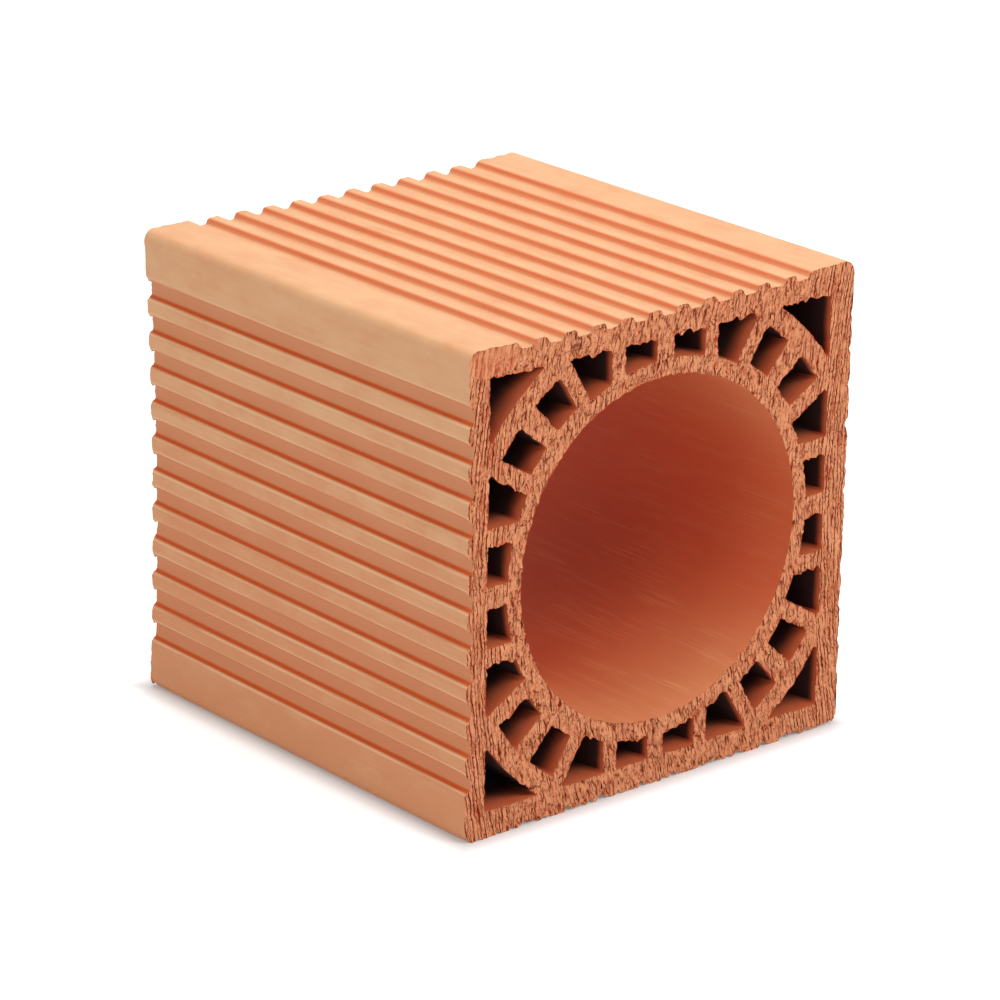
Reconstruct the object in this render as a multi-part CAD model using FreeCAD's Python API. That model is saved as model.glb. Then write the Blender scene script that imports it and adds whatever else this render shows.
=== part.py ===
import FreeCAD, Part
import math
import os

from FreeCAD import Vector

# Ventilation chimney block: one piece of extruded and fired clay.
# A square section with a round flue, a ring of small air cells round the flue and one
# larger cell in each corner runs through the whole block. The outside is ribbed for mortar.
# The flue lies along Y, X goes across and Z goes up. The block rests on one ribbed side.
# All sizes are in millimetres.

# Flue and the walls that stand round it, counted outwards
flue_diameter = 180.0
flue_wall = 8.5
side_cell_depth = 12.5
shell_wall = 14.0

# Length along the flue, where the wire cut the extruded clay
block_length = 260.0

# Four small cells along each side
middle_web = 10.4
inner_side_cell_width = 20.8
side_web = 8.5
radial_web = 8.6
radial_web_angle = 31.2

# Two small cells towards each corner, with a web between them that widens outwards
diagonal_flue_wall = 11.5
diagonal_cell_depth = 22.0
diagonal_web_foot = 9.6
diagonal_web_head = 12.6

# One larger cell in each corner
corner_ring_wall = 10.5

# Ribbed outside: the grooves stand closer together on the top and the underside
corner_rounding = 6.0
top_plain_band = 30.1
side_plain_band = 26.4
groove_count = 11
groove_mouth = 10.4
groove_floor = 7.6
groove_depth = 3.5
ridge_rounding = 3.4
groove_rounding = 2.0

# Roundings along the edges of the cells
small_cell_rounding = 1.5
corner_cell_rounding = 1.2

# Places that follow from the sizes
flue_radius = flue_diameter / 2
half_section = flue_radius + flue_wall + side_cell_depth + shell_wall
shell_inside = half_section - shell_wall
side_cell_radius = flue_radius + flue_wall
diagonal_cell_radius = flue_radius + diagonal_flue_wall
corner_ring_radius = diagonal_cell_radius + diagonal_cell_depth + corner_ring_wall
front_y = -block_length / 2
along_block = Vector(0, block_length, 0)
flue_axis = Vector(0, 1, 0)


def section_point(x, z):
    """A point of the section, measured from the flue's axis, on the front cut face."""
    return Vector(x, front_y, z)


def polar_point(radius, angle):
    """A point at a radius and at an angle in degrees from +Z towards +X."""
    turn = math.radians(angle)
    return section_point(radius * math.sin(turn), radius * math.cos(turn))


def angle_of(point):
    """The angle of a section point, in degrees from +Z towards +X."""
    return math.degrees(math.atan2(point.x, point.z))


def line(start, end):
    return Part.LineSegment(start, end).toShape()


def arc_about_flue(start, end):
    """An arc about the flue's axis between two points at the same radius."""
    radius = math.hypot(start.x, start.z)
    middle = polar_point(radius, (angle_of(start) + angle_of(end)) / 2)
    return Part.Arc(start, middle, end).toShape()


def beside_ray(angle, offset, radius):
    """Where a line parallel to a ray, offset towards growing angles, meets a circle."""
    return polar_point(radius, angle + math.degrees(math.asin(offset / radius)))


def beside_ray_at_height(angle, offset, z):
    """Where a line parallel to a ray, offset towards growing angles, reaches a height."""
    turn = math.radians(angle)
    along = (z + offset * math.sin(turn)) / math.cos(turn)
    return section_point(along * math.sin(turn) + offset * math.cos(turn), z)


def turned(shape, angle):
    """A copy turned about the flue's axis, by the angle that polar_point uses."""
    copy = shape.copy()
    copy.rotate(Vector(0, 0, 0), flue_axis, angle)
    return copy


def mirrored(shape):
    """A copy on the other side of the plane through the flue that stands upright."""
    return shape.mirror(Vector(0, 0, 0), Vector(1, 0, 0))


def prism(edges):
    """The area inside the edges, drawn on the front face and run through the block."""
    return Part.Face(Part.Wire(edges)).extrude(along_block)


def rounded_prism(edges, rounding):
    """A prism with its edges along the block rounded, as far as its narrowest side allows."""
    narrowest = min(edge.Length for edge in edges)
    solid = prism(edges)
    long_edges = [edge for edge in solid.Edges
                  if edge.tangentAt(edge.FirstParameter).isParallel(flue_axis, 0.01)]
    return solid.makeFillet(min(rounding, 0.3 * narrowest), long_edges)


def rounded_outline(corners):
    """A closed outline of lines with an arc at each corner, as far as the lines have room."""
    points = [point for point, radius in corners]
    to_next = [points[index - len(points) + 1].sub(point) for index, point in enumerate(points)]
    half_angles = [to_next[index].getAngle(to_next[index - 1].negative()) / 2
                   for index in range(len(points))]
    reaches = [radius / math.tan(half_angle)
               for (point, radius), half_angle in zip(corners, half_angles)]
    room = [min(1, 0.95 * step.Length / (reaches[index] + reaches[index - len(points) + 1]))
            for index, step in enumerate(to_next)]

    arc_ends = []
    for index, point in enumerate(points):
        reach = reaches[index] * min(room[index], room[index - 1])
        forwards = Vector(to_next[index]).normalize()
        backwards = to_next[index - 1].negative().normalize()
        inwards = forwards.add(backwards).normalize()
        depth = reach / math.cos(half_angles[index]) - reach * math.tan(half_angles[index])
        arc_ends.append((point + backwards * reach, point + inwards * depth,
                         point + forwards * reach))

    edges = []
    for index, (start, middle, end) in enumerate(arc_ends):
        edges.append(Part.Arc(start, middle, end).toShape())
        edges.append(line(end, arc_ends[index - len(arc_ends) + 1][0]))
    return edges


def ribbed_side(plain_band):
    """Corners and roundings of a side drawn on top, from its left corner to its last groove."""
    first_x = plain_band + groove_mouth / 2 - half_section
    groove_pitch = -2 * first_x / (groove_count - 1)
    floor_z = half_section - groove_depth

    corners = [(section_point(-half_section, half_section), corner_rounding)]
    for number in range(groove_count):
        x = first_x + number * groove_pitch
        corners.append((section_point(x - groove_mouth / 2, half_section), ridge_rounding))
        corners.append((section_point(x - groove_floor / 2, floor_z), groove_rounding))
        corners.append((section_point(x + groove_floor / 2, floor_z), groove_rounding))
        corners.append((section_point(x + groove_mouth / 2, half_section), ridge_rounding))
    return corners


def ribbed_body():
    """The full section with its ribbed outside, before any hole."""
    corners = []
    for side, plain_band in enumerate((top_plain_band, side_plain_band) * 2):
        turn = FreeCAD.Rotation(flue_axis, 90 * side)
        for point, radius in ribbed_side(plain_band):
            corners.append((turn.multVec(point), radius))
    return prism(rounded_outline(corners))


def flue():
    """The round way through the block."""
    return Part.makeCylinder(flue_radius, block_length, section_point(0, 0), flue_axis)


def inner_side_cell():
    """The cell beside the middle web of the top side."""
    left = middle_web / 2
    right = left + inner_side_cell_width
    foot_left = section_point(left, math.sqrt(side_cell_radius ** 2 - left ** 2))
    foot_right = section_point(right, math.sqrt(side_cell_radius ** 2 - right ** 2))
    head_left = section_point(left, shell_inside)
    head_right = section_point(right, shell_inside)
    edges = [arc_about_flue(foot_left, foot_right), line(foot_right, head_right),
             line(head_right, head_left), line(head_left, foot_left)]
    return rounded_prism(edges, small_cell_rounding)


def outer_side_cell():
    """The cell between the side web and the radial web of the top side."""
    left = middle_web / 2 + inner_side_cell_width + side_web
    foot_left = section_point(left, math.sqrt(side_cell_radius ** 2 - left ** 2))
    foot_right = beside_ray(radial_web_angle, -radial_web / 2, side_cell_radius)
    head_left = section_point(left, shell_inside)
    head_right = beside_ray_at_height(radial_web_angle, -radial_web / 2, shell_inside)
    edges = [arc_about_flue(foot_left, foot_right), line(foot_right, head_right),
             line(head_right, head_left), line(head_left, foot_left)]
    return rounded_prism(edges, small_cell_rounding)


def diagonal_cell():
    """The cell between the radial web and the web that points at the corner."""
    outer_radius = diagonal_cell_radius + diagonal_cell_depth
    foot_left = beside_ray(radial_web_angle, radial_web / 2, diagonal_cell_radius)
    head_left = beside_ray(radial_web_angle, radial_web / 2, outer_radius)
    foot_right = beside_ray(45, -diagonal_web_foot / 2, diagonal_cell_radius)
    head_right = beside_ray(45, -diagonal_web_head / 2, outer_radius)
    edges = [arc_about_flue(foot_left, foot_right), line(foot_right, head_right),
             arc_about_flue(head_right, head_left), line(head_left, foot_left)]
    return rounded_prism(edges, small_cell_rounding)


def corner_cell():
    """The three-sided cell in the upper right corner, closed by the ring of small cells."""
    ring_end = math.sqrt(corner_ring_radius ** 2 - shell_inside ** 2)
    corner = section_point(shell_inside, shell_inside)
    upper = section_point(ring_end, shell_inside)
    lower = section_point(shell_inside, ring_end)
    edges = [line(upper, corner), line(corner, lower), arc_about_flue(lower, upper)]
    return rounded_prism(edges, corner_cell_rounding)


def all_cells():
    """Every cell: one side's worth, turned to the four sides."""
    one_side = [corner_cell()]
    for cell in (inner_side_cell(), outer_side_cell(), diagonal_cell()):
        one_side += [cell, mirrored(cell)]
    return [turned(cell, 90 * side) for side in range(4) for cell in one_side]


def chimney_block():
    """The fired block, lying on its side with its underside at height zero."""
    block = ribbed_body().cut([flue()] + all_cells())
    block.translate(Vector(0, 0, half_section))
    return block.Solids[0]


os.makedirs("parts", exist_ok=True)
block = chimney_block()
block.exportStep("parts/chimney_block.step")
print("chimney_block", "valid", block.isValid(), "litres", round(block.Volume / 1e6, 3))
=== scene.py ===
import math

import bmesh
import bpy
import numpy as np
from mathutils import Matrix, Vector
from mathutils.geometry import delaunay_2d_cdt
from mathutils.kdtree import KDTree


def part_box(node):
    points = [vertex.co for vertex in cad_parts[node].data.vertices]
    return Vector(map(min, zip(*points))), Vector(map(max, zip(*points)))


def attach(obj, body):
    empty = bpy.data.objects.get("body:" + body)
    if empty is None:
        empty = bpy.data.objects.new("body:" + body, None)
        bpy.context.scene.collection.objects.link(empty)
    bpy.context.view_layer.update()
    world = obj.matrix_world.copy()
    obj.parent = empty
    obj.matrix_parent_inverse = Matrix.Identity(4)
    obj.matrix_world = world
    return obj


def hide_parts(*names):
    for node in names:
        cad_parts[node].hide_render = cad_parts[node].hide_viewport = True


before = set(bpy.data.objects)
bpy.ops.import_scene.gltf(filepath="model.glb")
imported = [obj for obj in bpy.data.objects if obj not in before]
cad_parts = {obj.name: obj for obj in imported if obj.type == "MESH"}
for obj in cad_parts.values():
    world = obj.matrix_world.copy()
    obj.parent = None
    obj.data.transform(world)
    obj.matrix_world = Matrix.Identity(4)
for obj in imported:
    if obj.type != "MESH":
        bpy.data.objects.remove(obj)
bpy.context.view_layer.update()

# A ventilation chimney block of fired clay, lying on one ribbed side.
# Its section comes from the CAD block. The extruded sides are smooth and the two ends are
# torn by the cutting wire. X goes across, Y along the flue and Z up.

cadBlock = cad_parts["chimney_block"]
blockLow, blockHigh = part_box("chimney_block")
middleHeight = (blockLow.z + blockHigh.z) / 2
halfWidth = (blockHigh.x - blockLow.x) / 2 * 1000  # in millimetres, as every size below
halfLength = (blockHigh.y - blockLow.y) / 2 * 1000
flueRadius = 90
sideStart, sideFull = 110, 118  # where the walls of the right side and the underside begin
endShift = 40  # sets the noise of one end apart from that of the other


# Nodes written as formulas

# A number that changes over the surface; each sum or product of fields is a Math node
class Field:
    def __init__(self, tree, socket):
        self.tree = tree
        self.socket = socket

    def step(self, operation, *others):
        node = self.tree.nodes.new("ShaderNodeMath")
        node.operation = operation
        for slot, value in zip(node.inputs, (self, *others)):
            plug(self.tree, slot, value)
        return Field(self.tree, node.outputs[0])

    def __add__(self, other):
        return self.step("ADD", other)

    def __sub__(self, other):
        return self.step("SUBTRACT", other)

    def __mul__(self, other):
        return self.step("MULTIPLY", other)

    def __truediv__(self, other):
        return self.step("DIVIDE", other)

    def size(self):
        return self.step("ABSOLUTE")

    def rise(self, start, end):  # 0 at start and 1 at end, smooth between them
        node = self.tree.nodes.new("ShaderNodeMapRange")
        node.interpolation_type = "SMOOTHSTEP"
        for name, value in (("Value", self), ("From Min", start), ("From Max", end)):
            plug(self.tree, node.inputs[name], value)
        return Field(self.tree, node.outputs[0])

    def between(self, low, high):  # low where the field is 0, high where it is 1
        return self * (high - low) + low


def plug(tree, slot, value):
    if isinstance(value, Field):
        tree.links.new(value.socket, slot)
    elif isinstance(value, bpy.types.NodeSocket):
        tree.links.new(value, slot)
    else:
        slot.default_value = value


def addNode(tree, kind, values=(), **settings):
    node = tree.nodes.new(kind)
    for name, setting in settings.items():
        setattr(node, name, setting)
    for name, value in dict(values).items():
        plug(tree, node.inputs[name], value)
    return node


# X, Y and height over the flue's axis as fields in millimetres
def placeFields(tree, place):
    scaled = addNode(tree, "ShaderNodeVectorMath", {0: place, "Scale": 1000.0}, operation="SCALE")
    split = addNode(tree, "ShaderNodeSeparateXYZ", {0: scaled.outputs[0]})
    x, y, z = (Field(tree, socket) for socket in split.outputs)
    return x, y, z - middleHeight * 1000


# Where y or z holds end plus a number, the number only sets one noise apart from the next
def noise(x, y, z, detail=2.0, roughness=0.5):
    place = addNode(x.tree, "ShaderNodeCombineXYZ", {0: x, 1: y, 2: z})
    node = addNode(x.tree, "ShaderNodeTexNoise",
                   {"Vector": place.outputs[0], "Scale": 1.0, "Detail": detail, "Roughness": roughness})
    return Field(x.tree, node.outputs[0])


# Cells of random outline, about one for each unit of the coordinates: a tone of their own and
# how far a place is from the cell's edge
def flakes(x, y, z):
    place = addNode(x.tree, "ShaderNodeCombineXYZ", {0: x, 1: y, 2: z})
    whole = addNode(x.tree, "ShaderNodeTexVoronoi", {"Vector": place.outputs[0], "Scale": 1.0})
    edge = addNode(x.tree, "ShaderNodeTexVoronoi", {"Vector": place.outputs[0], "Scale": 1.0},
                   feature="DISTANCE_TO_EDGE")
    tone = addNode(x.tree, "ShaderNodeSeparateXYZ", {0: whole.outputs["Color"]})
    return Field(x.tree, tone.outputs[0]), Field(x.tree, edge.outputs["Distance"])


def newGroup(name, kind, inputs, outputs):
    group = bpy.data.node_groups.new(name, kind)
    for way, sockets in (("INPUT", inputs), ("OUTPUT", outputs)):
        for label, socketType, value in sockets:
            made = group.interface.new_socket(label, in_out=way, socket_type=socketType)
            if value is not None:
                made.default_value = value
    return group, group.nodes.new("NodeGroupInput"), group.nodes.new("NodeGroupOutput")


# The marks that the wire leaves on a cut end, for the mesh and for the material alike

wireMarks = {
    "Streak Width": 1.2,
    "Streak Length": 20.0,
    "Gap Spacing": 2.3,
    "Flake Width": 2.6,
    "Flake Length": 8.0,
    "Wander": 2.0,
    "Lean": 0.0008,  # how fast the marks turn away from upright with height
}
markNames = ("Relief", "Ledge", "Gap", "Crack", "Pit", "Scar")

# Scars of the front end: middle across and up from the flue's axis, half sizes, depth
scars = {
    "curledChip": (-18.5, 90.0, 8.5, 2.6, 0.9),
    "tornHole": (-58.0, 114.5, 3.2, 2.8, 2.2),
    "blister": (-118.0, 10.0, 3.4, 3.4, 1.0),
    "slit": (-96.0, -21.5, 0.9, 6.0, 1.4),
    "seam": (-1.0, -103.0, 0.9, 12.5, 1.2),
}


def scarDepth(x, y, z):
    total = None
    for middleX, middleZ, halfX, halfZ, depth in scars.values():
        across, up = (x - middleX) / halfX, (z - middleZ) / halfZ
        scar = (across * across + up * up).step("SQRT").rise(1.1, 0.75) * depth
        total = scar if total is None else total.step("MAXIMUM", scar)
    return total * y.step("LESS_THAN", 0)


# Where the wire smeared the clay of the front end smooth: middle and half sizes
smear = (-110.0, 117.5, 17.0, 7.5)


def smeared(x, y, z):
    middleX, middleZ, halfX, halfZ = smear
    across, up = (x - middleX) / halfX, (z - middleZ) / halfZ
    return (across * across + up * up).rise(1.3, 0.7) * y.step("LESS_THAN", 0)


def makeWireMarks(kind):
    numbers = [(label, "NodeSocketFloat", value) for label, value in wireMarks.items()]
    masks = [(label, "NodeSocketFloat", None) for label in markNames]
    place = [("Place", "NodeSocketVector", None)]
    group, given, result = newGroup("wireMarks", kind, place + numbers, masks)
    x, y, z = placeFields(group, given.outputs["Place"])
    streakWidth, streakLength, gapSpacing, flakeWidth, flakeLength, wander, lean = (
        Field(group, given.outputs[label]) for label in wireMarks)

    end = y.step("SIGN") * endShift
    across = x - z * z * lean
    across = across + (noise(across / 8, z / 15, end) - 0.5) * wander
    sideWall = x.size().rise(90, 112)
    calm = noise(x / 16, z / 24, end + 31, 1).rise(0.35, 0.65)

    longStreaks = noise(across / streakWidth, z / streakLength, end, 2, 0.6)
    shortStreaks = noise(across / streakWidth + 70, z / (streakLength * 0.33), end, 3, 0.62)
    streaks = sideWall.between(shortStreaks, longStreaks)
    bend = (noise(across / 5, z / 20, end + 13, 1) - 0.5) * sideWall.between(3.0, 1.5)
    broken = noise(across / 2.2, z / (streakLength * sideWall.between(0.5, 0.9)), end + 19, 1)
    line = (across / gapSpacing + bend).step("FRACT") - 0.5
    gap = line.size().rise(0.17, 0.04) * (broken + sideWall * 0.13).rise(0.46, 0.6)
    ragged = (noise(across / 1.2, z / 3, end + 5, 2) - 0.5) * 0.5
    length = flakeLength * sideWall.between(1.0, 2.2)
    tone, edge = flakes(across / flakeWidth + ragged, z / length + ragged, end)
    relief = streaks.rise(0.36, 0.62) * 0.5 + tone * 0.22 + 0.28

    tearing = z / 5 + noise(across / 2.2, z / 14, end + 11, 1) * 4
    ledge = (tearing.step("FRACT") * -1 + 1).step("POWER", 2)
    crack = edge.rise(0.07, 0.01) * noise(across / 3, z / 6, end + 23, 1).rise(0.45, 0.6)
    crack = crack * sideWall.between(0.9, 0.45)
    speck = noise(across / 1.1, z / 1.3, end + 47, 1).rise(0.66, 0.71)
    hole = noise(across / 2.0, z / 4.2, end + 59, 3, 0.65).rise(0.645, 0.7) * 0.8
    pit = speck.step("MAXIMUM", hole) * calm.between(0.5, 1.0)

    smooth = smeared(x + ragged * 6, y, z + ragged * 6)
    ledge, gap, crack, pit = (mark * smooth.between(1.0, 0.12) for mark in (ledge, gap, crack, pit))
    scar = scarDepth(x + ragged * 2, y, z + ragged * 2)

    for label, field in zip(markNames, (relief, ledge, gap, crack, pit, scar)):
        plug(group, result.inputs[label], field)
    return group


# Block: the dense section

section = {
    "longestStep": 1.3,  # between points along an outline
    "across": 0.85,  # between the columns of points on a cut end
    "along": 1.45,
    "clearance": 0.45,
    "seed": 5,
}


# The closed outlines of the block's front end; the clay is on their left
def sectionLoops():
    copy = bmesh.new()
    copy.from_mesh(cadBlock.data)
    bmesh.ops.remove_doubles(copy, verts=copy.verts, dist=1e-6)
    copy.normal_update()
    follower = {}
    for face in copy.faces:
        if face.normal.y > -0.9:
            continue
        for corner in face.loops:
            if abs(corner.link_loop_radial_next.face.normal.y) < 0.5:
                follower[corner.vert] = corner.link_loop_next.vert
    loops = []
    while follower:
        vert, nextVert = follower.popitem()
        loop = [vert]
        while nextVert is not loop[0]:
            loop.append(nextVert)
            nextVert = follower.pop(nextVert)
        loops.append(np.array([(v.co.x, v.co.z - middleHeight) for v in loop]) * 1000)
    copy.free()
    return sorted(loops, key=lambda loop: (np.ptp(loop[:, 0]).round(1), *loop.mean(axis=0).round(1)))


def finePoints(loop):
    points = []
    for start, end in zip(loop, np.roll(loop, -1, axis=0)):
        count = max(1, math.ceil(np.hypot(*(end - start)) / section["longestStep"]))
        points += [start + (end - start) * part / count for part in range(count)]
    return np.array(points)


# Points in columns over the clay, none of them close to an outline
def clayPoints(loops):
    starts = np.vstack(loops)
    ends = np.vstack([np.roll(loop, -1, axis=0) for loop in loops])
    tree = KDTree(len(starts))
    for index, (x, z) in enumerate(starts):
        tree.insert((x, z, 0), index)
    tree.balance()
    chance = np.random.default_rng(section["seed"])
    points, rooms, nearest = [], [], []
    for column in np.arange(-halfWidth + section["across"], halfWidth, section["across"]):
        crossed = (starts[:, 0] <= column) != (ends[:, 0] <= column)
        a, b = starts[crossed], ends[crossed]
        heights = np.sort(a[:, 1] + (column - a[:, 0]) * (b[:, 1] - a[:, 1]) / (b[:, 0] - a[:, 0]))
        for low, high in heights.reshape(-1, 2):
            for z in np.arange(low + chance.uniform(0.3, 1.0) * section["along"], high, section["along"]):
                x = column + chance.uniform(-0.2, 0.2)
                index, room = tree.find((x, z, 0))[1:]
                if room > section["clearance"]:
                    points.append((x, z))
                    rooms.append(room)
                    nearest.append(index)
    return np.array(points), np.array(rooms), np.array(nearest)


def insideClay(places, loops):
    inside = np.zeros(len(places), bool)
    for loop in loops:
        for (x, z), (nextX, nextZ) in zip(loop, np.roll(loop, -1, axis=0)):
            if x != nextX:
                crossed = (places[:, 0] < x) != (places[:, 0] < nextX)
                inside ^= crossed & (places[:, 1] < z + (places[:, 0] - x) * (nextZ - z) / (nextX - x))
    return inside


# The front end as a flat mesh of small triangles, with what the node tree needs on its points
def sectionMesh():
    loops, kinds = [], []
    for loop in sectionLoops():
        radius = np.hypot(*loop.T)
        isOutside = np.ptp(loop[:, 0]) > 1.5 * halfWidth and radius.max() > 1.1 * halfWidth
        isFlue = np.ptp(radius) < 0.5
        fine = finePoints(loop)
        if isFlue:
            fine *= (radius.max() / np.hypot(*fine.T))[:, None]
        loops.append(fine)
        kinds.append(1 if isOutside else 2 if isFlue else 3)
    edge = np.vstack(loops)
    fore = np.vstack([np.roll(loop, -1, axis=0) - np.roll(loop, 1, axis=0) for loop in loops])
    fore /= np.hypot(*fore.T)[:, None]
    outward = np.column_stack([fore[:, 1], -fore[:, 0]])
    kind = np.concatenate([np.full(len(loop), k) for loop, k in zip(loops, kinds)])
    opening = np.concatenate([np.full(len(loop), i) for i, loop in enumerate(loops)])
    depth = halfWidth - np.abs(edge).max(axis=1)
    onRibs = (kind == 1) & (np.abs(edge).min(axis=1) < halfWidth - 10)
    onSide = np.abs(edge[:, 0]) > np.abs(edge[:, 1])
    sunk = np.clip(depth / depth[onRibs].max(), 0, 1)
    tilt = np.abs(np.where(onSide, outward[:, 1], outward[:, 0]))
    # groove: how deep a point lies in a rib groove, less on the top and underside; it paints shade on the
    # groove floors and sets where torn clay fills them
    groove = sunk * np.where(onSide, 1.0, 0.4) * onRibs
    # painted shade and warm bounce light on the groove flanks: on the sides only where a flank faces up,
    # most deep in the groove; on the top and underside most near the land
    weight = np.where(onSide, np.clip(sunk / 0.5, 0, 1), 1.1 - 0.7 * sunk)
    flankShade = np.clip((tilt - 0.1) / 0.6, 0, 1) * weight * onRibs
    flankShade[onSide & (outward[:, 1] < 0)] = 0

    inner, rooms, nearest = clayPoints(loops)
    fences, first = [], 0
    for loop in loops:
        fences += [(first + i, first + (i + 1) % len(loop)) for i in range(len(loop))]
        first += len(loop)
    points = np.vstack([edge, inner])
    flat, _, triangles, sources, _, _ = delaunay_2d_cdt([Vector(p) for p in points], fences, [], 0, 1e-5)
    source = np.array([found[0] for found in sources])
    triangles = np.array(triangles)
    middles = points[source][triangles].mean(axis=1)
    triangles = triangles[insideClay(middles, loops)].tolist()

    mesh = bpy.data.meshes.new("section")
    front = -halfLength / 1000
    mesh.from_pydata([(p.x / 1000, front, p.y / 1000 + middleHeight) for p in flat], [], triangles)
    near = np.concatenate([np.arange(len(edge)), nearest])[source]
    onEdge = source < len(edge)
    facts = {
        "room": np.concatenate([np.zeros(len(edge)), rooms])[source],
        "overVoid": np.clip(-1.4 * outward[near, 1] - 0.3, 0, 1) * np.where(kind[near] == 2, 0.45, 1.0),
        "outwardX": outward[near, 0],
        "outwardZ": outward[near, 1],
        "opening": opening[near].astype(float),
        "region": np.where(onEdge, kind[near], 0).astype(float),
        "groove": groove[near],
        "flankShade": flankShade[near],
        # shelf: how far a wall faces up; up-facing cell walls keep their painted light deeper inside
        "shelf": np.clip(outward[near, 1], 0, 1),
    }
    for name, values in facts.items():
        mesh.attributes.new(name, "FLOAT", "POINT").data.foreach_set("value", values.astype(np.float32))
    print("section:", len(loops), "outlines,", len(flat), "points,", len(triangles), "triangles")
    return mesh


# Block: from the section to the cut block, by geometry nodes

block = {
    "Drag Depth": 1.1,  # how far the streaks stand up
    "Ledge Depth": 0.8,
    "Lip Drop": 2.9,  # how far torn clay hangs into the openings
    "Lip Width": 5.5,
    "Lip Thickness": 1.6,
    "Tooth Size": 1.4,
    "Mouth Wobble": 1.9,
    "Side Fill": 3.2,  # clay torn out into the grooves of the right side
    "Under Fill": 7.0,
    "Under Bite": 2.6,  # how far the lower edges of the ends are torn up from the floor
}
mouthBands = (0.7, 1.1, 2.3, 7.0)  # rings of points near each end, counted inwards


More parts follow.
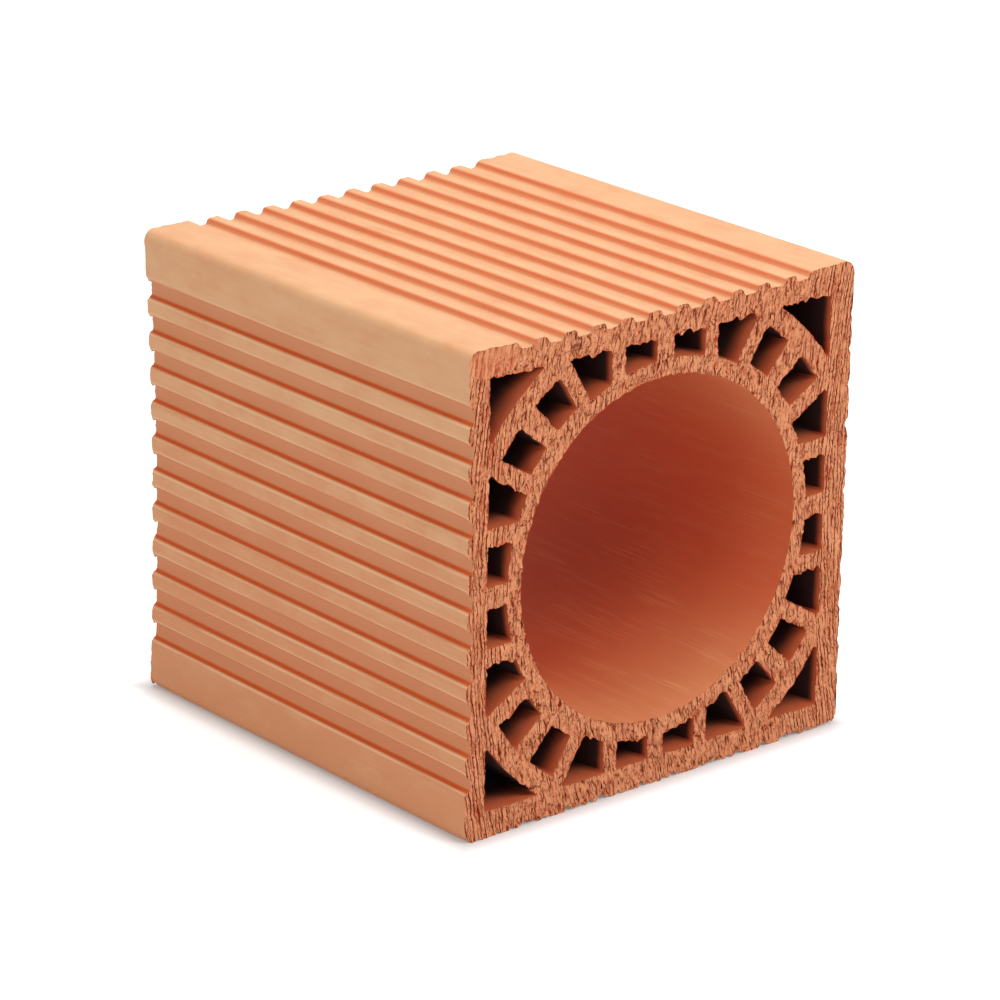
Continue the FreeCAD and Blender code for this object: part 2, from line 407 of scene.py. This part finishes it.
def makeBlockTree(materials, outside):
    numbers = [(label, "NodeSocketFloat", value) for label, value in block.items()]
    tree, given, result = newGroup("wireCutBlock", "GeometryNodeTree",
                                   [("Geometry", "NodeSocketGeometry", None)] + numbers,
                                   [("Geometry", "NodeSocketGeometry", None)])
    (dragDepth, ledgeDepth, lipDrop, lipWidth, lipThickness, toothSize, wobble, sideFill,
     underFill, underBite) = (Field(tree, given.outputs[label]) for label in block)

    def stored(name):
        return Field(tree, addNode(tree, "GeometryNodeInputNamedAttribute", {"Name": name}).outputs[0])

    # The outlines run back from the front end, ring by ring, and a turned copy closes the far end
    middle = (2 * halfLength - 2 * sum(mouthBands)) / 2
    bands = [*mouthBands, middle, middle, *reversed(mouthBands)]
    neighbours = addNode(tree, "GeometryNodeInputMeshEdgeNeighbors")
    rim = Field(tree, neighbours.outputs[0]).step("COMPARE", 1, 0.1)
    backwards = addNode(tree, "ShaderNodeCombineXYZ", {1: 1.0}).outputs[0]
    shape, chosen = given.outputs["Geometry"], rim
    for band in bands:
        run = addNode(tree, "GeometryNodeExtrudeMesh", {
            "Mesh": shape, "Selection": chosen, "Offset": backwards, "Offset Scale": band / 1000},
            mode="EDGES")
        shape, chosen = run.outputs["Mesh"], run.outputs["Top"]
    far = addNode(tree, "GeometryNodeTransform", {
        "Geometry": given.outputs["Geometry"], "Translation": (0, 2 * halfLength / 1000, 0)})
    farTurned = addNode(tree, "GeometryNodeFlipFaces", {"Mesh": far.outputs[0]})
    both = addNode(tree, "GeometryNodeJoinGeometry")
    tree.links.new(farTurned.outputs[0], both.inputs[0])
    tree.links.new(shape, both.inputs[0])
    closed = addNode(tree, "GeometryNodeMergeByDistance", {"Geometry": both.outputs[0], "Distance": 1e-5})

    # Materials go on while the ends are still flat
    normal = addNode(tree, "GeometryNodeInputNormal")
    facing = addNode(tree, "ShaderNodeSeparateXYZ", {0: normal.outputs[0]})
    isCut = Field(tree, facing.outputs[1]).size().step("GREATER_THAN", 0.5)
    shape = closed.outputs[0]
    region = stored("region")
    for number, name in enumerate(("claySkin", "flueClay", "cellClay"), 1):
        shape = addNode(tree, "GeometryNodeSetMaterial", {
            "Geometry": shape, "Selection": region.step("COMPARE", number, 0.3),
            "Material": materials[name]}).outputs[0]
    shape = addNode(tree, "GeometryNodeSetMaterial", {
        "Geometry": shape, "Selection": isCut, "Material": materials["cutClay"]}).outputs[0]

    # Torn clay: lips that hang over the openings, small teeth round them and the wire's marks
    place = addNode(tree, "GeometryNodeInputPosition").outputs[0]
    x, y, z = placeFields(tree, place)
    end = y.step("SIGN") * endShift
    depth = y.size() * -1 + halfLength
    mouth = (depth / lipThickness).rise(2.2, 0.0)
    onEnd = depth.rise(0.2, 0.1)
    overVoid, room, opening = stored("overVoid"), stored("room"), stored("opening")
    lips = noise(x / lipWidth + opening * 3.7, opening, end, 3, 0.55).rise(0.3, 0.7) - 0.15
    drop = lips * lipDrop * overVoid * mouth * (room / lipWidth).rise(1.6, 0.0)
    underside = z.rise(-sideStart, -sideFull)
    soft = opening.step("COMPARE", outside, 0.3) * (underside - 0.6) + 1
    tooth = (noise(x / 2.4, z / 2.4, end + 5, 1) - 0.5) * toothSize * soft * mouth * room.rise(1.6, 0.0)
    swell = (noise(x / 6, z / 6, end + 17, 1) - 0.5) * wobble * depth.rise(7.0, 0.0) * room.rise(3.0, 0.0)
    tooth = tooth + swell
    nearMouth = depth.rise(6.0, 0.5) * room.rise(3.0, 0.0)
    torn = stored("groove") * noise(x / 11, z / 11, end + 29, 1).rise(0.15, 0.55) * nearMouth
    fillRight = torn * sideFill * x.rise(sideStart, sideFull)
    fillUnder = torn * underFill * underside
    lowest = z.rise(-116, -124)
    bite = noise(x / 4.5, y / 9, end + 37, 2).rise(0.4, 0.62) * underBite * lowest * nearMouth

    marks = addNode(tree, "GeometryNodeGroup", {}, node_tree=makeWireMarks("GeometryNodeTree"))
    tree.links.new(place, marks.inputs["Place"])
    relief, ledge, pit, scar = (
        Field(tree, marks.outputs[label]) for label in ("Relief", "Ledge", "Pit", "Scar"))
    sunk = ((relief * -1 + 1) * dragDepth + (ledge * -1 + 1) * ledgeDepth + pit * 0.3 + scar) * onEnd
    inwards = y.step("SIGN") * -1
    shift = addNode(tree, "ShaderNodeCombineXYZ", {
        0: (stored("outwardX") * tooth + fillRight) * 0.001,
        1: inwards * sunk * 0.001,
        2: (stored("outwardZ") * tooth - drop - fillUnder + bite) * 0.001})
    moved = addNode(tree, "GeometryNodeSetPosition", {"Geometry": shape, "Offset": shift.outputs[0]})
    whole = addNode(tree, "GeometryNodeRealizeInstances", {"Geometry": moved.outputs[0]})
    plug(tree, result.inputs[0], whole.outputs[0])
    return tree


# Block: how the real one dried and fired out of true, in millimetres

drying = {
    "topSag": 1.7,
    "coreShift": 1.3,  # the flue and its cells lie left of the middle
    "farLeftPull": 2.8,
    "skinWave": 0.25,
}


def dryOut(mesh):
    count = len(mesh.vertices)
    places = np.empty(count * 3, np.float32)
    mesh.vertices.foreach_get("co", places)
    places = places.reshape(-1, 3).astype(float) * 1000
    x, y, z = places[:, 0].copy(), places[:, 1].copy(), places[:, 2] - middleHeight * 1000
    half = halfWidth
    radius = np.maximum(np.abs(x), np.abs(z)) / half
    core = np.clip((1.0 - radius) / 0.12, 0, 1)
    places[:, 0] -= drying["coreShift"] * core * core * (3 - 2 * core)
    top = np.clip((z / half - 0.55) / 0.45, 0, 1)
    places[:, 2] -= drying["topSag"] * (1 - (x / half) ** 2) * top
    left = np.clip((-x / half - 0.55) / 0.45, 0, 1)
    far = np.clip((y + halfLength) / (2 * halfLength), 0, 1)
    places[:, 0] += drying["farLeftPull"] * left * far * (1 - (z / half) ** 2)
    wave = drying["skinWave"] * (np.sin(y / 41 + x / 60) + np.sin(z / 37 + 2)) * 0.5
    outer = np.clip((radius - 0.94) / 0.06, 0, 1)
    places[:, 0] -= np.sign(x) * outer * (drying["skinWave"] + wave) * (np.abs(x) > np.abs(z))
    places = np.clip(places, np.array(blockLow) * 1000, np.array(blockHigh) * 1000)
    mesh.vertices.foreach_set("co", (places / 1000).astype(np.float32).ravel())
    mesh.update()


def makeBlock(materials):
    flat = sectionMesh()
    for material in materials.values():
        flat.materials.append(material)
    source = bpy.data.objects.new("section", flat)
    bpy.context.scene.collection.objects.link(source)
    outside = max(value.value for value in flat.attributes["opening"].data)
    tree = makeBlockTree(materials, outside)
    modifier = source.modifiers.new("wireCut", "NODES")
    modifier.node_group = tree
    for item in tree.interface.items_tree:
        if item.in_out == "INPUT" and item.name in block:
            modifier[item.identifier] = block[item.name]
    evaluated = source.evaluated_get(bpy.context.evaluated_depsgraph_get())
    mesh = bpy.data.meshes.new_from_object(evaluated)
    bpy.data.objects.remove(source)
    mesh.name = "clayBlock"
    dryOut(mesh)
    for name in ("room", "overVoid", "outwardX", "outwardZ", "opening", "region"):
        mesh.attributes.remove(mesh.attributes[name])
    mesh.shade_smooth()
    mesh.set_sharp_from_angle(angle=math.radians(55))
    piece = bpy.data.objects.new("clayBlock", mesh)
    bpy.context.scene.collection.objects.link(piece)
    triangleCount = sum(len(face.vertices) - 2 for face in mesh.polygons)
    print("block:", len(mesh.vertices), "points,", triangleCount, "triangles")
    return piece


# Materials

def newMaterial(name):
    material = bpy.data.materials.new(name)
    material.use_nodes = True
    tree = material.node_tree
    shader = tree.nodes["Principled BSDF"]
    place = addNode(tree, "ShaderNodeTexCoord").outputs["Object"]
    return material, tree, shader, place


def colour(hexCode):  # a colour as a paint chart writes it, made linear
    parts = [int(hexCode[i:i + 2], 16) / 255 for i in (1, 3, 5)]
    return (*[((p + 0.055) / 1.055) ** 2.4 if p > 0.04045 else p / 12.92 for p in parts], 1)


def mixColour(tree, mask, low, high):
    node = addNode(tree, "ShaderNodeMix", {0: mask, 6: low, 7: high}, data_type="RGBA")
    return node.outputs[2]


# A value that the section's points carry
def carried(tree, name):
    return Field(tree, addNode(tree, "ShaderNodeAttribute", attribute_name=name).outputs["Fac"])


def finishClay(tree, shader, base, height, look):
    tree.links.new(base, shader.inputs["Base Color"])
    shader.inputs["Roughness"].default_value = look["roughness"]
    shader.inputs["Specular IOR Level"].default_value = look["specular"]
    node = addNode(tree, "ShaderNodeBump", {
        "Height": height, "Strength": look["bumpStrength"], "Distance": look["bumpDepth"] / 1000})
    tree.links.new(node.outputs[0], shader.inputs["Normal"])


cutClayLook = {
    # ridge and groove: painted light on the raised streaks and painted shade in the furrows
    "ridge": "#FCAA7C",
    "groove": "#B43812",
    # crack and pit: painted shade in the gaps, cracks, pits and scars
    "crack": "#8E2204",
    "pit": "#481004",
    "roughness": 0.92,
    "specular": 0.0,
    "bumpStrength": 1.0,
    "bumpDepth": 0.7,
}


def makeCutClay(marksGroup):
    material, tree, shader, place = newMaterial("cutClay")
    marks = addNode(tree, "ShaderNodeGroup", {}, node_tree=marksGroup)
    tree.links.new(place, marks.inputs["Place"])
    relief, ledge, gap, crack, pit, scar = (
        Field(tree, marks.outputs[label]) for label in markNames)
    x, y, z = placeFields(tree, place)
    grain = noise(x / 0.85, y / 0.85, z / 1.2, 3, 0.7)
    cloud = noise(x / 26, y / 26, z / 26, 2)
    # painted light and shade: paler where the streaks stand up, darker in the furrows and in a line under
    # each ledge's lip; grain, cloud and the flakes' tone are the clay's own
    tone = relief * 0.8 + (grain - 0.5) * 0.5 + cloud * 0.2 - ledge.rise(0.15, 0.0) * 0.2
    ridge, furrow, split, hollow = (
        colour(cutClayLook[part]) for part in ("ridge", "groove", "crack", "pit"))
    base = mixColour(tree, tone.rise(0.0, 0.75), furrow, ridge)
    # painted shade: the thin gaps and cracks dark red
    base = mixColour(tree, gap.step("MAXIMUM", crack) * 0.95, base, split)
    # painted shade: the pits near black and the scars a little darker
    base = mixColour(tree, pit.step("MAXIMUM", scar * 0.15), base, hollow)
    height = relief * 0.7 + grain * 0.6 - gap * 0.9 - crack * 0.6 - pit
    finishClay(tree, shader, base, height, cutClayLook)
    return material


skinLook = {
    "land": "#E4B082",
    "landTint": "#D99264",
    "grooveFloorShade": "#D08256",
    "flankShade": "#D0540A",
    "shoulderHighlight": "#F2C496",  # painted highlight along the edges of the ridges
    "roughness": 0.6,
    "specular": 0.35,
    "bumpStrength": 0.15,
    "bumpDepth": 0.2,
}


def makeSkin():
    material, tree, shader, place = newMaterial("claySkin")
    x, y, z = placeFields(tree, place)
    groove, flankShade = carried(tree, "groove"), carried(tree, "flankShade")
    streak = noise(x / 1.6, y / 70, z / 1.6, 2, 0.6)
    cloud = noise(x / 18, y / 34, z / 18, 3, 0.6)
    grain = noise(x / 0.45, y / 0.7, z / 0.45, 2)
    high = (z / halfWidth).rise(-0.9, 1.0)  # painted light: paler towards the top, where the light falls from above
    tone = streak * 0.2 + cloud * 0.65 + grain * 0.15 + (high - 0.7) * 0.28
    tone = tone.rise(0.25, 0.75)
    base = mixColour(tree, tone, colour(skinLook["landTint"]), colour(skinLook["land"]))
    # painted shade: the groove floors darker and redder, as in the shade of the lands
    base = mixColour(tree, groove.rise(0.3, 0.9) * 0.8, base, colour(skinLook["grooveFloorShade"]))
    # painted highlight: a pale line along the ridge edges, as from light bounced up off the floor
    paintedEdgeLight = groove.rise(0.02, 0.1) * groove.rise(0.4, 0.2) * streak.rise(0.3, 0.6) * 0.7
    base = mixColour(tree, paintedEdgeLight, base, colour(skinLook["shoulderHighlight"]))
    # painted shade: the groove flanks a darker, saturated orange
    base = mixColour(tree, flankShade.rise(0.25, 1.05) * 0.95, base, colour(skinLook["flankShade"]))
    finishClay(tree, shader, base, streak * 0.6 + grain * 0.2, skinLook)
    return material


flueLook = {
    "wall": "#DE643A",
    "core": "#AC4124",  # painted shade deep in the flue, full halfway through the block
    # pale clay of the scratches, and painted light
    "paleAndLit": "#F6AE78",
    "roughness": 0.62,
    "specular": 0.35,
    "bumpStrength": 0.2,
    "bumpDepth": 0.2,
}


def makeFlueClay():
    material, tree, shader, place = newMaterial("flueClay")
    x, y, z = placeFields(tree, place)
    around = x.step("ARCTAN2", z) * flueRadius
    band = noise(around / 9, y / 60, 3, 1).rise(0.4, 0.65)
    scratch = noise(around / 0.7, y / 42, 0, 3, 0.7).rise(0.45, 0.72) * band
    cloud = noise(x / 30, y / 45, z / 30, 2)
    depth = y.size() * -1 + halfLength
    up = z / flueRadius
    upperRight = ((x + z) / 130).rise(-0.1, 0.8)
    # painted light: paler on the flue's floor near the mouths, a little paler near the mouths all round
    # and towards the upper right
    paleAndLit = up.rise(-0.4, -1.0) * depth.rise(110, 0) * 0.65 + depth.rise(80, 0) * 0.1
    paleAndLit = paleAndLit + up.rise(0.1, 0.7) * upperRight * 0.4
    # the scratches and clouds are the clay's own pale tone; the rest is painted light
    pale = scratch * 0.3 + cloud * 0.12 + paleAndLit * scratch.between(0.8, 1.2)
    # painted shade: darker deeper inside the flue, less so towards the upper right
    depthShade = depth.rise(15, 125) * (upperRight * -0.6 + 0.65)
    base = mixColour(tree, depthShade, colour(flueLook["wall"]), colour(flueLook["core"]))
    base = mixColour(tree, pale, base, colour(flueLook["paleAndLit"]))
    finishClay(tree, shader, base, scratch, flueLook)
    return material


cellLook = {
    "mouth": "#DE6A3C",
    "depthShade": "#2E0D06",
    "shadeFrom": 7.5,  # how far inside the block the painted shade is full
    "shelfShadeFrom": 24.0,  # and where a wall faces up
    "roughness": 0.9,
    "specular": 0.5,
    "bumpStrength": 0.3,
    "bumpDepth": 0.2,
}


def makeCellClay():
    material, tree, shader, place = newMaterial("cellClay")
    x, y, z = placeFields(tree, place)
    cloud = noise(x / 9, y / 40, z / 9, 3, 0.6)
    inside = y.size() * -1 + halfLength
    shadeFrom = carried(tree, "shelf").between(cellLook["shadeFrom"], cellLook["shelfShadeFrom"])
    # painted shade: the cells darken inwards from the mouths, slower on walls that face up
    tone = (inside / shadeFrom).rise(0.0, 1.0) + (cloud - 0.5) * 0.3
    tone = tone.rise(0.0, 1.0)
    base = mixColour(tree, tone, colour(cellLook["mouth"]), colour(cellLook["depthShade"]))
    finishClay(tree, shader, base, noise(x / 0.7, y / 14, z / 0.7), cellLook)
    return material


# Camera, floor and light

cameraView = {
    "azimuth": -40.37,
    "elevation": 19.77,
    "roll": 0.824,
    "distance": 2.22595,
    "right": 0.003443,  # of the block's middle, in metres
    "up": -0.011054,
    "lens": 156.355,
}


def makeCamera():
    turn, tilt, roll = (math.radians(cameraView[name]) for name in ("azimuth", "elevation", "roll"))
    back = Vector((math.sin(turn) * math.cos(tilt), -math.cos(turn) * math.cos(tilt), math.sin(tilt)))
    level = Vector((0, 0, 1)).cross(back).normalized()
    upright = back.cross(level)
    right = math.cos(roll) * level + math.sin(roll) * upright
    up = -math.sin(roll) * level + math.cos(roll) * upright
    place = Vector((0, 0, middleHeight)) + cameraView["distance"] * back \
        + cameraView["right"] * right + cameraView["up"] * up
    data = bpy.data.cameras.new("camera")
    data.lens = cameraView["lens"]
    data.sensor_width = 36
    data.clip_end = 100
    camera = bpy.data.objects.new("camera", data)
    camera.matrix_world = Matrix.Translation(place) @ Matrix((right, up, back)).transposed().to_4x4()
    bpy.context.scene.collection.objects.link(camera)
    bpy.context.scene.camera = camera


studio = {
    "world": 0.43,
    "key": 7.0,
    "frontFill": 18.0,
    "leftFill": 8.6,
    "floor": 0.75,
    "floorGlow": 0.6,
    "contactShadowGlow": 0.15,  # right beside the block, lower for a painted contact shadow
}


def areaLight(name, place, size, watts):
    data = bpy.data.lights.new(name, "AREA")
    data.size = size
    data.energy = watts
    light = bpy.data.objects.new(name, data)
    light.matrix_world = Matrix.Translation(place) \
        @ (Vector(place) - Vector((0, 0, middleHeight))).to_track_quat("Z", "Y").to_matrix().to_4x4()
    bpy.context.scene.collection.objects.link(light)


# 1 for the rays that the camera sees, straight or as a reflection
def seenRays(tree):
    path = addNode(tree, "ShaderNodeLightPath")
    return Field(tree, path.outputs["Is Camera Ray"]).step("MAXIMUM", path.outputs["Is Glossy Ray"])


def makeStudio():
    mesh = bpy.data.meshes.new("floor")
    mesh.from_pydata([(-9, -9, 0), (9, -9, 0), (9, 9, 0), (-9, 9, 0)], [], [(0, 1, 2, 3)])
    floor = bpy.data.objects.new("floor", mesh)
    bpy.context.scene.collection.objects.link(floor)
    material, tree, shader, place = newMaterial("studioFloor")
    shade = studio["floor"]
    shader.inputs["Base Color"].default_value = (shade, shade, shade, 1)
    shader.inputs["Roughness"].default_value = 0.9
    shader.inputs["Specular IOR Level"].default_value = 0.0
    shader.inputs["Emission Color"].default_value = (1, 1, 1, 1)
    x, y, z = placeFields(tree, place)
    beside = (x.size() - halfWidth).step("MAXIMUM", y.size() - halfLength)
    # painted shadow: the floor glows less close round the block
    glow = beside.rise(-2.0, 14.0).between(studio["contactShadowGlow"], studio["floorGlow"])
    plug(tree, shader.inputs["Emission Strength"], seenRays(tree) * glow)
    floor.data.materials.append(material)

    world = bpy.data.worlds.new("studio")
    world.use_nodes = True
    bpy.context.scene.world = world
    tree = world.node_tree
    strength = seenRays(tree).between(studio["world"], 1.0)
    plug(tree, tree.nodes["Background"].inputs["Strength"], strength)
    tree.nodes["Background"].inputs["Color"].default_value = (1, 1, 1, 1)

    areaLight("key", (0.14, 0.15, 1.25), 0.8, studio["key"])
    areaLight("frontFill", (0.3, -1.6, 1.5), 1.0, studio["frontFill"])
    areaLight("leftFill", (-1.9, -0.1, 0.7), 1.2, studio["leftFill"])


# The scene

print("frame: block", [round(v, 4) for v in (*blockLow, *blockHigh)])
makeCamera()
makeStudio()
print("camera, floor and lights made")
clayMaterials = {
    "claySkin": makeSkin(),
    "cutClay": makeCutClay(makeWireMarks("ShaderNodeTree")),
    "flueClay": makeFlueClay(),
    "cellClay": makeCellClay(),
}
clayBlock = makeBlock(clayMaterials)
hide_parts("chimney_block")
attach(clayBlock, "root")

scene = bpy.context.scene
scene.view_settings.view_transform = "Standard"
